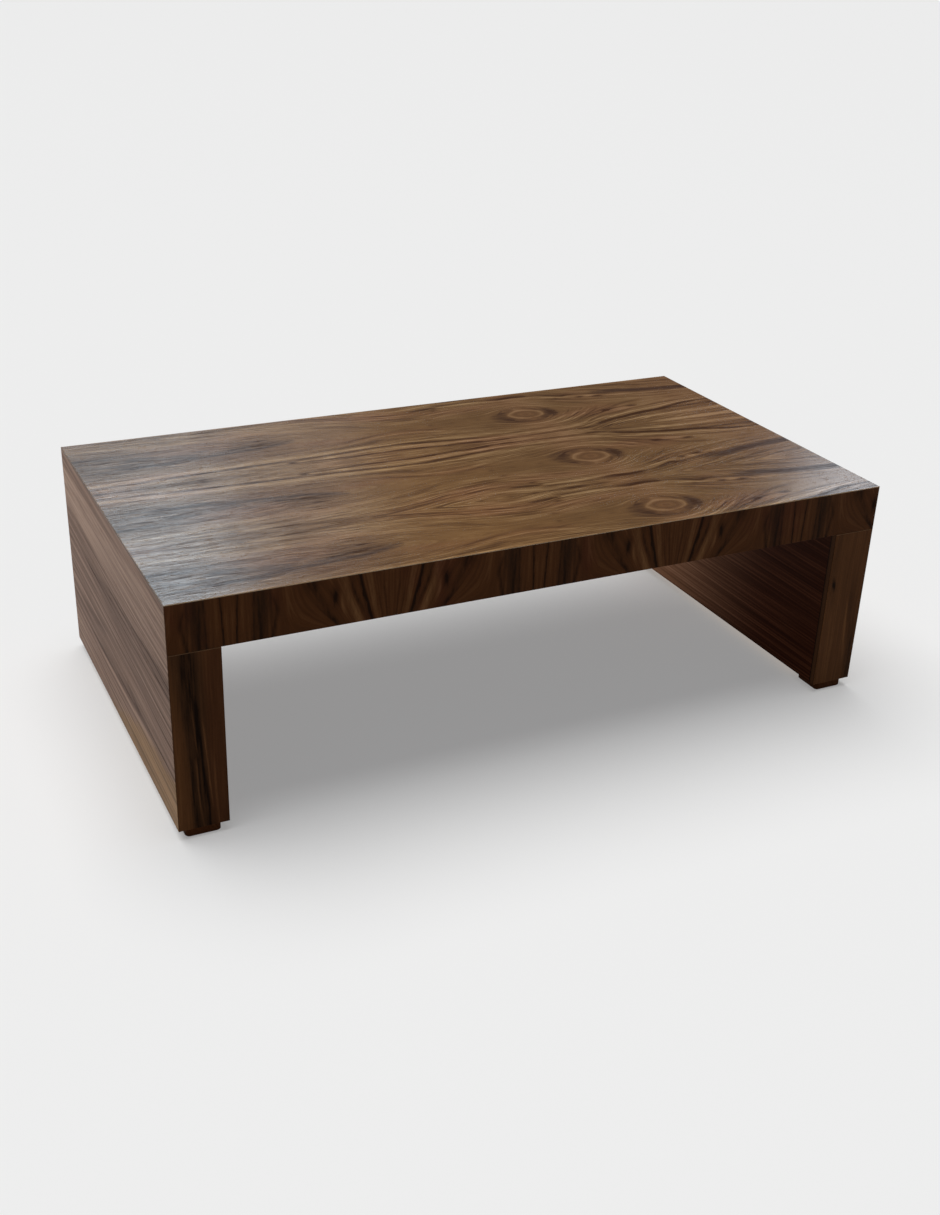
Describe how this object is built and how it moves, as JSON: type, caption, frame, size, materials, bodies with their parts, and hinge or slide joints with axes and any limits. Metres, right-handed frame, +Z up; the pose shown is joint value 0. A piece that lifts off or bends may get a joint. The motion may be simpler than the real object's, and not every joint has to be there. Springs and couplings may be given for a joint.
{
  "type": "waterfall coffee table",
  "caption": "Long low table whose thick veneered top turns straight down at both ends into slab legs on low block feet, for setting things down in front of a sofa.",
  "frame": {"origin": "on the floor, under the middle of the top", "axes": "+X along the length to the right, +Y from the front to the back, +Z up"},
  "size_m": [1.22, 0.667, 0.381],
  "materials": {
    "top_veneer": "satin lacquer, figured walnut",
    "edge_veneer": "satin lacquer, dark walnut",
    "side_veneer": "satin lacquer, walnut",
    "inner_veneer": "satin lacquer, striped walnut",
    "core_board": "bare fibreboard",
    "core_timber": "bare softwood",
    "dowel_timber": "bare beech",
    "foot_timber": "dark stain",
    "screw_steel": "zinc plated"
  },
  "bodies": {
    "root": {"back_edge_leaf_1": "edge_veneer", "back_edge_leaf_2": "edge_veneer", "back_edge_leaf_3": "edge_veneer", "back_edge_leaf_4": "edge_veneer", "back_edge_leaf_5": "edge_veneer", "back_edge_leaf_6": "edge_veneer", "back_left_foot": "foot_timber", "back_right_foot": "foot_timber", "foot_screws": "screw_steel", "front_edge_leaf_1": "edge_veneer", "front_edge_leaf_2": "edge_veneer", "front_edge_leaf_3": "edge_veneer", "front_edge_leaf_4": "edge_veneer", "front_edge_leaf_5": "edge_veneer", "front_edge_leaf_6": "edge_veneer", "front_left_foot": "foot_timber", "front_right_foot": "foot_timber", "left_leg_back_band": "edge_veneer", "left_leg_back_stile": "core_timber", "left_leg_bottom_rail": "core_timber", "left_leg_dowels": "dowel_timber", "left_leg_front_band": "edge_veneer", "left_leg_front_stile": "core_timber", "left_leg_inner_panel": "core_board", "left_leg_inner_veneer": "inner_veneer", "left_leg_outer_panel": "core_board", "left_leg_rib_1": "core_timber", "left_leg_rib_2": "core_timber", "left_leg_top_rail": "core_timber", "left_side_veneer": "side_veneer", "right_leg_back_band": "edge_veneer", "right_leg_back_stile": "core_timber", "right_leg_bottom_rail": "core_timber", "right_leg_dowels": "dowel_timber", "right_leg_front_band": "edge_veneer", "right_leg_front_stile": "core_timber", "right_leg_inner_panel": "core_board", "right_leg_inner_veneer": "inner_veneer", "right_leg_outer_panel": "core_board", "right_leg_rib_1": "core_timber", "right_leg_rib_2": "core_timber", "right_leg_top_rail": "core_timber", "right_side_veneer": "side_veneer", "slab_back_rail": "core_timber", "slab_cross_rib_1": "core_timber", "slab_cross_rib_2": "core_timber", "slab_cross_rib_3": "core_timber", "slab_cross_rib_4": "core_timber", "slab_front_rail": "core_timber", "slab_left_end_block": "core_timber", "slab_long_rib_1": "core_timber", "slab_long_rib_2": "core_timber", "slab_right_end_block": "core_timber", "top_leaf_1": "top_veneer", "top_leaf_2": "top_veneer", "top_leaf_3": "top_veneer", "top_panel": "core_board", "underside_panel": "core_board", "underside_veneer": "inner_veneer"}
  },
  "joints": []
}
